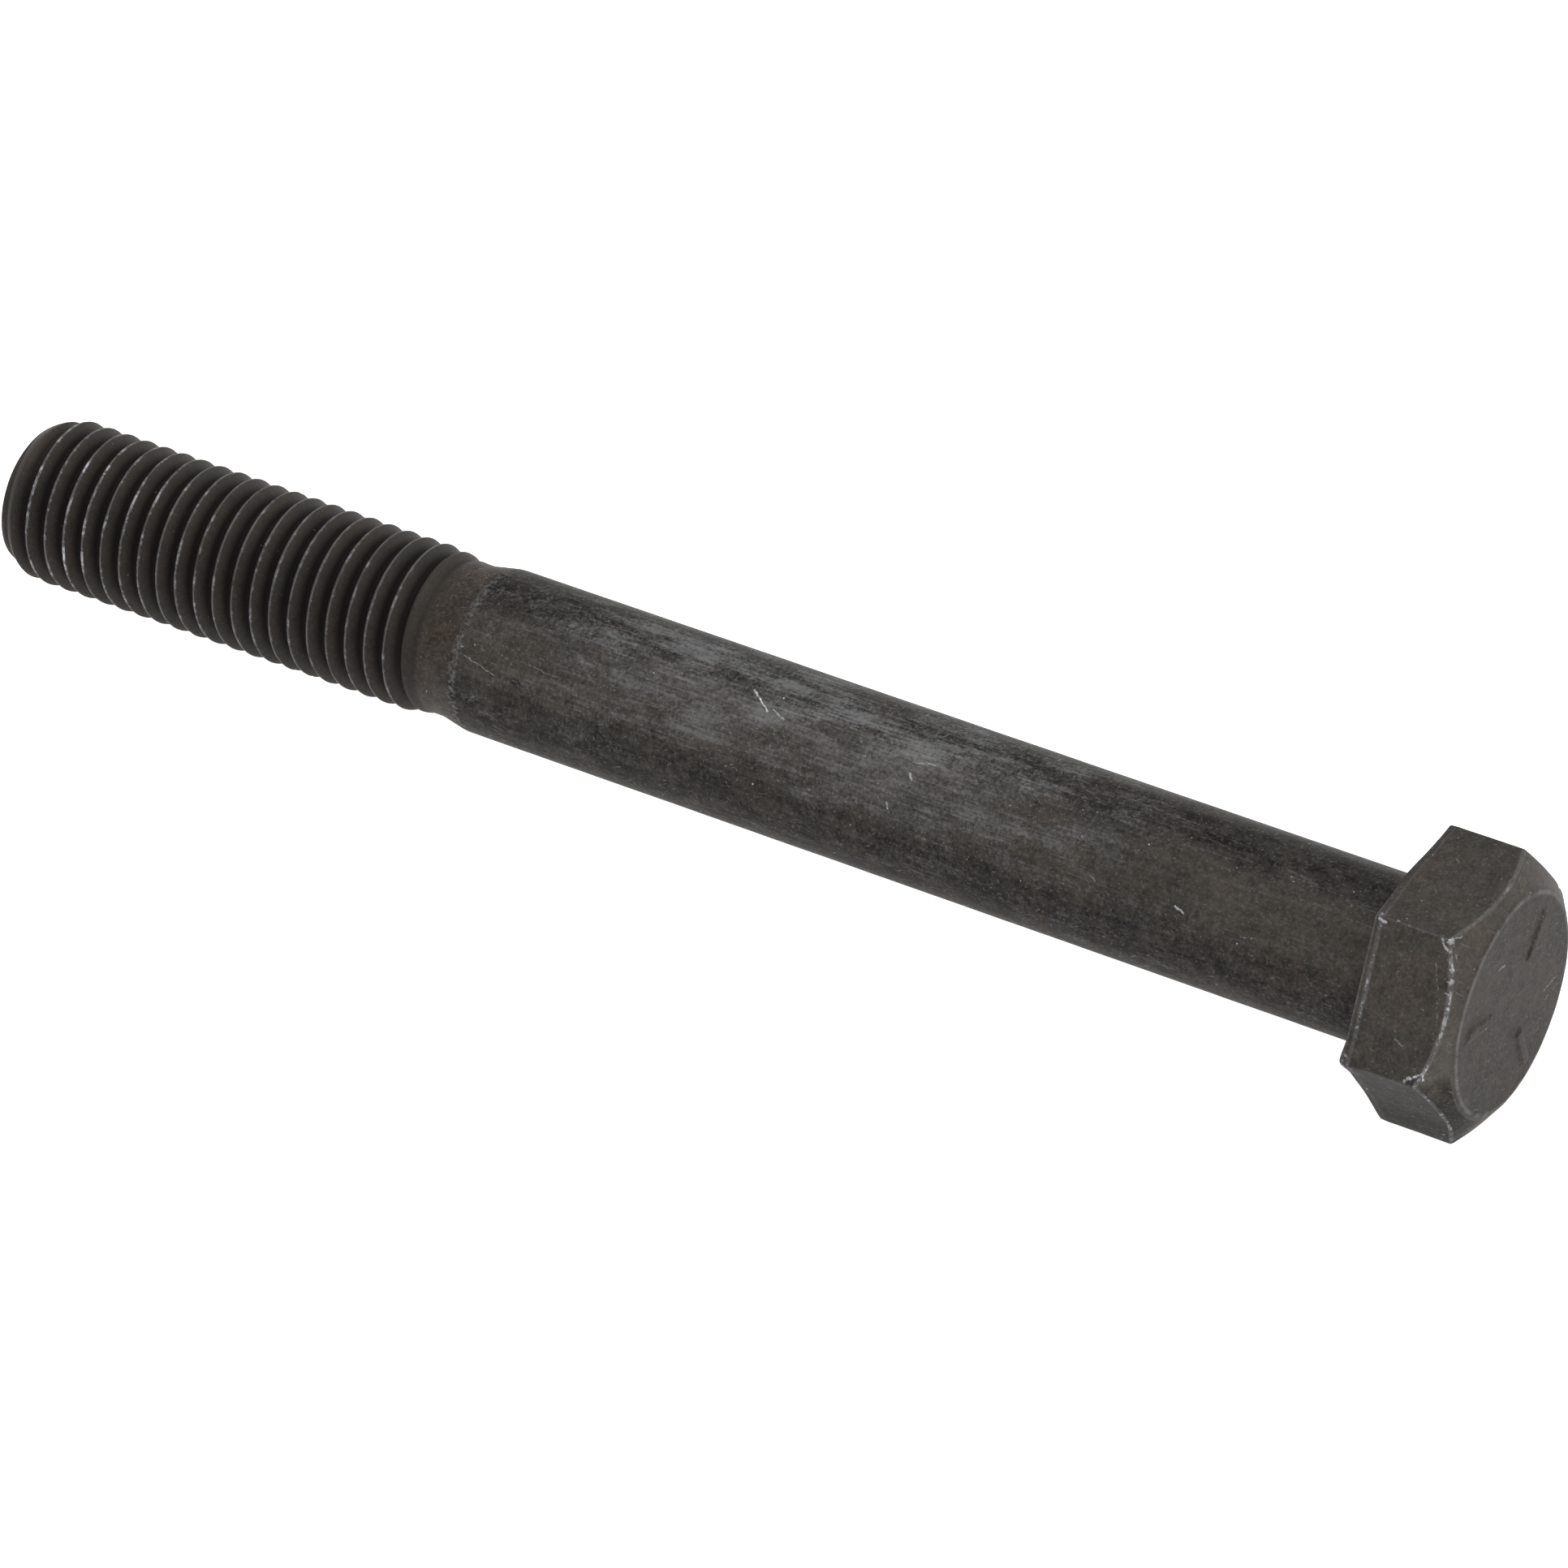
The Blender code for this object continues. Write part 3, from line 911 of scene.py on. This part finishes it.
def head_rings(sizes):
    angles = head_angles()
    columns = len(angles)

    def level(radius, place):
        return pairs(np.full(columns, radius), place)

    def uneven(middle, swing, size, seed):
        return (middle + swing * ripple(angles, size * MM, seed)) * MM

    flat_radius = sizes.across_flats / 2
    top_radius = flat_radius - sizes.top_inset
    under = -sizes.head_height
    bottom = under + sizes.washer_height
    washer_radius = flat_radius - sizes.washer_inset
    reach = hex_reach(angles, flat_radius, uneven(0.42, 0.12, 9, 3.0))
    reach += FULL_CORNER_RISE * bump_at(angles, FULL_CORNER, 15)
    drop = (reach - top_radius) * math.tan(sizes.chamfer_slope)
    drop = drop * (1 + 0.40 * bump_at(angles, DEEP_CHAMFER_SIDE, 18))

    # The flats lean in over a narrow strip next to the bearing face, and one has a lip there.
    strip = (0.80 + 0.12 * np.cos(angles - math.radians(185))) * MM
    lip = LIP_RISE * bump_at(angles, LIP_SIDE, 14)
    top = level(top_radius, 0.0)
    arc = pairs(reach, -drop)
    ridge = pairs(reach, bottom + strip - lip / 2)
    foot = pairs(reach - uneven(0.07, 0.04, 6, 8.0), bottom - lip)
    step_in = level(washer_radius, bottom)
    step_out = level(washer_radius, under)
    root_out = level(sizes.shank_radius + sizes.fillet, under)
    root_corner = level(sizes.shank_radius, under)
    root_in = level(sizes.shank_radius, under - sizes.fillet)

    top_round = uneven(0.28, 0.10, 4, 1.0)
    arc_round = uneven(0.17, 0.10, 2, 2.0)
    foot_round = uneven(0.17, 0.06, 3, 4.0)
    ridge_round = np.full(columns, 0.12 * MM)
    step_round = np.full(columns, 0.4 * sizes.washer_height)
    fillet = np.full(columns, sizes.fillet)

    # The arc of the flat that took most knocks is worn brightest.
    knocked = np.clip(1 - np.abs(np.degrees(angles) - KNOCKED_FLAT) / 34, 0, 1) ** 0.5
    top_wear, root_wear = 0.72, 0.7
    arc_wear = 0.96 + 0.14 * knocked
    ridge_wear = 0.88 + 0.20 * knocked
    foot_wear = 0.90 + 0.06 * knocked

    head = HeadRows(columns)
    disc_radii = [0.7, 1.6, 2.6, 3.5, *np.arange(4.1, 11.95, 0.31)]
    head.lay([level(value * MM, 0.0) for value in disc_radii], [0.0] * len(disc_radii))
    last = head.bend(level(0.0, 0.0), top, arc, top_round, 6, top_wear)
    head.run(last, arc, arc_round, top, 11, (top_wear, arc_wear))
    last = head.bend(top, arc, ridge, arc_round, 7, arc_wear)
    flats_start = len(head.rows)
    head.run(last, ridge, ridge_round, arc, 30, (arc_wear, ridge_wear))
    last = head.bend(arc, ridge, foot, ridge_round, 4, ridge_wear)
    head.run(last, foot, foot_round, ridge, 4, (ridge_wear, foot_wear))
    flats_end = len(head.rows)
    last = head.bend(ridge, foot, step_in, foot_round, 5, foot_wear)
    head.run(last, step_in, step_round, foot, 3, (foot_wear, 0.0))
    head.bend(foot, step_in, step_out, step_round, 3, 0.0)
    last = head.bend(step_in, step_out, root_out, step_round, 4, root_wear)
    head.run(last, root_corner, fillet, root_out, 5, (root_wear, 0.0))
    head.bend(root_out, root_corner, root_in, fillet, 7, 0.0)

    # The six upright corners are worn too, the one under the hardest knocks the most.
    away = np.abs(off_corner(angles)) * HIGH.y
    corner_wear = np.clip(1.02 - away / EDGE_FADE, 0, 1)
    corner_wear *= 0.86 + 0.10 * (np.abs(np.degrees(angles) - KNOCKED_CORNER) < 10)
    for index in range(flats_start, flats_end):
        head.marks[index] = np.maximum(head.marks[index], corner_wear)

    # The rings change to even angles on the washer face, to meet the shank.
    even = even_angles(columns)
    rings = []
    for index, row in enumerate(head.rows):
        from_last = len(head.rows) - index
        share = min(1.0, max(0.0, (SETTLING_ROWS + 3 - from_last) / SETTLING_ROWS))
        rings.append(around(angles + (even - angles) * share, row))
    return rings, head.marks


# Dents and burrs: angle in degrees, radius and place along the axis in millimetres, how wide, how
# deep (a burr is negative) and how bright.
DENTS = (
    (120.0, 16.2, -2.7, 1.1, 0.30, 1.0),
    (124.5, 15.0, -2.0, 0.9, 0.16, 0.8),
    (134.0, 14.6, -1.6, 0.8, 0.18, 0.9),
    (139.0, 14.4, -1.4, 0.9, -0.08, 0.7),
    (146.0, 14.3, -1.2, 0.7, 0.12, 0.9),
    (176.0, 16.2, -2.5, 0.9, 0.14, 0.6),
    (173.0, 15.9, -3.3, 0.8, -0.14, 0.9),
    (181.0, 16.4, -11.4, 3.4, -0.26, 0.5),
    (119.0, 16.2, -11.0, 0.8, 0.14, 0.7),
    (238.0, 16.2, -2.6, 1.0, 0.16, 0.8),
    (300.0, 16.3, -3.0, 1.1, 0.22, 0.9),
    (358.0, 16.2, -10.9, 1.2, 0.20, 0.8),
    (25.0, 14.3, -1.2, 0.9, 0.12, 0.7),
    (62.0, 16.1, -6.0, 0.9, 0.10, 0.7),
)

# Raised bars on the head's top: turn of the first one in degrees, and sizes in millimetres.
BAR_COUNT = 3
BAR_TURN = 43.0
BAR_INNER = 5.0
BAR_OUTER = 10.2
BAR_WIDTH = 0.95
BAR_HEIGHT = 0.22
BAR_SLOPE = 0.30

# The dish in the end face: share of its radius, and depth in millimetres.
END_DISH = ((0.95, 0.0), (0.90, 0.0), (0.80, 0.0), (0.55, 0.20), (0.28, 0.28))


def bar_heights(points):
    """How far each point of the head's top is raised by the bars, in metres."""
    raised = np.zeros(len(points))
    for index in range(BAR_COUNT):
        turn = math.radians(BAR_TURN + 360 / BAR_COUNT * index)
        out = (points[:, 1] * math.cos(turn) + points[:, 2] * math.sin(turn)) / MM
        side = np.abs(points[:, 2] * math.cos(turn) - points[:, 1] * math.sin(turn)) / MM
        past = np.maximum(np.maximum(BAR_INNER - out, out - BAR_OUTER), 0.0)
        away = np.hypot(np.maximum(side - BAR_WIDTH / 2, 0.0), past)
        share = np.clip(1 - away / BAR_SLOPE, 0, 1)
        raised = np.maximum(raised, share * share * (3 - 2 * share) * BAR_HEIGHT * MM)
    return raised


def weather(mesh, sizes):
    """Moves the surface by its forging waviness, dents, burrs and raised bars."""
    count = len(mesh.vertices)
    points = np.empty(count * 3)
    normals = np.empty(count * 3)
    mesh.vertices.foreach_get("co", points)
    mesh.vertex_normals.foreach_get("vector", normals)
    points, normals = points.reshape(-1, 3), normals.reshape(-1, 3)
    move = np.zeros(count)
    scar = np.zeros(count)
    thread_end = LOW.x + sizes.thread_length + sizes.runout_length + 0.5 * MM
    for index in np.nonzero(points[:, 0] > thread_end)[0]:
        spot = Vector(points[index])
        on_head = spot.x > -sizes.head_height
        broad = noise.noise(spot / (7 * MM)) * (0.045 if on_head else 0.020)
        small = noise.noise(spot / (1.6 * MM)) * (0.016 if on_head else 0.006)
        move[index] = (broad + small) * MM
    for angle, radius, place, width, depth, bright in DENTS:
        centre = np.array(surface_place(angle, radius, place))
        away = np.linalg.norm(points - centre, axis=1) / (width * MM)
        near = np.clip(1 - away, 0, 1)
        move -= np.sin(near * math.pi / 2) ** 2 * depth * MM
        scar = np.maximum(scar, near * bright)
    points += normals * move[:, None]
    top = (points[:, 0] > -0.4 * MM) & (np.hypot(points[:, 1], points[:, 2]) < 12 * MM)
    raised = bar_heights(points[top])
    points[top, 0] += raised
    wear = np.empty(count)
    mesh.attributes["edge_wear"].data.foreach_get("value", wear)
    slope = 1 - np.abs(2 * raised / (BAR_HEIGHT * MM) - 1)
    wear[top] = np.maximum(wear[top], np.where(slope > 0, 0.95 * slope, 0.0))
    mesh.attributes["edge_wear"].data.foreach_set("value", wear)
    mesh.vertices.foreach_set("co", points.ravel())
    mesh.attributes.new("scar", "FLOAT", "POINT").data.foreach_set("value", scar)


def end_cap(form, sizes):
    """Closes the threaded end with a shallow dished face."""
    edges = [
        edge
        for edge in form.edges
        if edge.is_boundary and max(vertex.co.x for vertex in edge.verts) < LOW.x + WELD
    ]
    for share, depth in END_DISH:
        made = bmesh.ops.extrude_edge_only(form, edges=edges)["geom"]
        for vertex in (item for item in made if isinstance(item, bmesh.types.BMVert)):
            away = math.hypot(vertex.co.y, vertex.co.z)
            reach = sizes.point_radius * share
            across, up = (side / away * reach for side in vertex.co.yz)
            vertex.co = Vector((LOW.x + depth * MM, across, up))
        edges = [item for item in made if isinstance(item, bmesh.types.BMEdge)]
    bmesh.ops.contextual_create(form, geom=edges)
    bmesh.ops.poke(form, faces=[face for face in form.faces if len(face.verts) > 4])


def drop_part(part):
    mesh = part.data
    bpy.data.objects.remove(part)
    bpy.data.meshes.remove(mesh)


def part_named(name):
    part = bpy.data.objects.get(name)
    if part is None:
        raise RuntimeError(f"make {name} first")
    return part


class BOLT_OT_roll_thread(bpy.types.Operator):
    """Roll the thread, from the point to the neck"""

    bl_idname = "bolt.roll_thread"
    bl_label = "Roll Thread"

    def execute(self, context):
        values = thread_values(context.scene.bolt_sizes, finish_material(context))
        grow(THREAD_PART, thread_tree(values), values)
        return {"FINISHED"}


class BOLT_OT_turn_shank(bpy.types.Operator):
    """Turn the neck, the shoulder and the plain shank"""

    bl_idname = "bolt.turn_shank"
    bl_label = "Turn Shank"

    def execute(self, context):
        rings = shank_rings(context.scene.bolt_sizes)
        part_from_rings(SHANK_PART, rings, [np.zeros(len(ring)) for ring in rings])
        return {"FINISHED"}


class BOLT_OT_forge_head(bpy.types.Operator):
    """Forge the hex head down to the fillet under it"""

    bl_idname = "bolt.forge_head"
    bl_label = "Forge Head"

    def execute(self, context):
        sizes = context.scene.bolt_sizes
        rings, marks = head_rings(sizes)
        join = -sizes.head_height - sizes.fillet - JOIN_GAP
        foot = pairs(np.full(TURN_STEPS, sizes.shank_radius), join)
        rings.append(around(even_angles(TURN_STEPS), foot))
        marks.append(np.zeros(TURN_STEPS))
        part_from_rings(HEAD_PART, rings, marks, pole=(0.0, 0.0, 0.0))
        return {"FINISHED"}


class BOLT_OT_weld_bolt(bpy.types.Operator):
    """Weld thread, shank and head into one closed piece of steel"""

    bl_idname = "bolt.weld_bolt"
    bl_label = "Weld Bolt"

    def execute(self, context):
        sizes = context.scene.bolt_sizes
        form = bmesh.new()
        for name in (THREAD_PART, SHANK_PART, HEAD_PART):
            part = part_named(name)
            form.from_mesh(part.data)
            drop_part(part)
        bmesh.ops.remove_doubles(form, verts=form.verts, dist=WELD)
        end_cap(form, sizes)
        bmesh.ops.recalc_face_normals(form, faces=form.faces)
        open_edges = [edge for edge in form.edges if len(edge.link_faces) != 2]
        if open_edges:
            where = sorted({round(edge.verts[0].co.x, 4) for edge in open_edges})[:12]
            raise RuntimeError(f"the bolt is not closed: {len(open_edges)} edges near {where}")
        mesh = bpy.data.meshes.new(PIECE)
        form.to_mesh(mesh)
        form.free()
        weather(mesh, sizes)
        mesh.shade_smooth()
        mesh.materials.clear()
        mesh.materials.append(finish_material(context))
        bolt = add_object(PIECE, mesh)
        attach(bolt, "root")
        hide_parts(CAD_NODE)
        return {"FINISHED"}


def floor_material(stage):
    material = bpy.data.materials.new("pale_floor")
    material.use_nodes = True
    shader = material.node_tree.nodes["Principled BSDF"]
    shader.inputs["Base Color"].default_value = rgba(stage.floor_colour)
    shader.inputs["Roughness"].default_value = 0.9
    shader.inputs["Specular IOR Level"].default_value = 0.1
    shader.inputs["Emission Color"].default_value = WHITE
    shader.inputs["Emission Strength"].default_value = stage.floor_glow
    return material


def white_room(stage):
    """A white room, brightest behind and above the bolt."""
    world = bpy.data.worlds.new("white_room")
    world.use_nodes = True
    bench = Bench(world.node_tree)
    background = world.node_tree.nodes["Background"]
    toward = bench.out("ShaderNodeTexCoord", socket="Generated")
    share = bench.vector("DOT_PRODUCT", toward, BRIGHTEST_WAY.normalized())
    strength = bench.ramp(share, -0.45, 0.80, stage.room_shade, stage.room_light)
    bench.wire(WHITE, background.inputs["Color"])
    bench.wire(strength, background.inputs["Strength"])
    return world


def softbox(stage, aim):
    """One broad round light above and behind the bolt."""
    lamp = bpy.data.lights.new("overhead", "AREA")
    lamp.shape = "DISK"
    lamp.size = stage.overhead_width
    lamp.energy = stage.overhead_power
    box = add_object("overhead", lamp)
    place = Vector((aim.x, *OVERHEAD_PLACE))
    facing = (aim - place).to_track_quat("-Z", "Y")
    box.matrix_world = Matrix.Translation(place) @ facing.to_matrix().to_4x4()


def camera_at_angle(stage):
    """The camera looks at the bolt's axis from in front, above and the right, leaning a little."""
    back = Vector(
        (
            math.sin(stage.azimuth) * math.cos(stage.elevation),
            -math.cos(stage.azimuth) * math.cos(stage.elevation),
            math.sin(stage.elevation),
        )
    )
    level = Vector((math.cos(stage.azimuth), math.sin(stage.azimuth), 0.0))
    right = level * math.cos(stage.roll) + back.cross(level) * math.sin(stage.roll)
    turned = Matrix((right, back.cross(right), back)).transposed().to_4x4()
    lens = bpy.data.cameras.new("camera")
    lens.lens = stage.lens
    lens.sensor_width = 36.0
    lens.clip_start = 0.05
    lens.clip_end = 20.0
    camera = add_object("camera", lens)
    camera.matrix_world = Matrix.Translation(CAMERA_PLACE) @ turned
    bpy.context.scene.camera = camera


class BOLT_OT_set_stage(bpy.types.Operator):
    """Set the pale floor, the soft light and the camera"""

    bl_idname = "bolt.set_stage"
    bl_label = "Set Stage"

    def execute(self, context):
        stage = context.scene.stage_look
        middle = (LOW + HIGH) / 2
        half = stage.floor_width / 2
        mesh = bpy.data.meshes.new("floor")
        corners = [(-half, -half), (half, -half), (half, half), (-half, half)]
        level = LOW.z - FLOOR_GAP
        mesh.from_pydata([(middle.x + x, y, level) for x, y in corners], [], [(0, 1, 2, 3)])
        mesh.materials.append(floor_material(stage))
        floor = add_object("floor", mesh)
        context.scene.world = white_room(stage)
        softbox(stage, middle)
        context.scene.view_settings.view_transform = "Standard"
        camera_at_angle(stage)
        return {"FINISHED"}


OPERATORS = (
    BOLT_OT_roll_thread,
    BOLT_OT_turn_shank,
    BOLT_OT_forge_head,
    BOLT_OT_weld_bolt,
    BOLT_OT_set_stage,
)


class BOLT_PT_maker(bpy.types.Panel):
    """Sizes, colours and steps of the bolt"""

    bl_label = "Hex Bolt"
    bl_idname = "BOLT_PT_maker"
    bl_space_type = "VIEW_3D"
    bl_region_type = "UI"
    bl_category = "Bolt"

    def draw(self, context):
        scene = context.scene
        for group in (scene.bolt_sizes, scene.steel_look, scene.stage_look):
            box = self.layout.box()
            for name in group.__annotations__:
                box.prop(group, name)
        for operator in OPERATORS:
            self.layout.operator(operator.bl_idname)


GROUPS = {"bolt_sizes": BoltSizes, "steel_look": SteelLook, "stage_look": StageLook}


def register():
    for group in (*GROUPS.values(), *OPERATORS, BOLT_PT_maker):
        bpy.utils.register_class(group)
    for name, group in GROUPS.items():
        setattr(bpy.types.Scene, name, PointerProperty(type=group))


def unregister():
    for name in GROUPS:
        delattr(bpy.types.Scene, name)
    for group in reversed((*GROUPS.values(), *OPERATORS, BOLT_PT_maker)):
        bpy.utils.unregister_class(group)


def main():
    register()
    bpy.ops.bolt.roll_thread()
    bpy.ops.bolt.turn_shank()
    bpy.ops.bolt.forge_head()
    bpy.ops.bolt.weld_bolt()
    bpy.ops.bolt.set_stage()


if __name__ == "__main__":
    main()
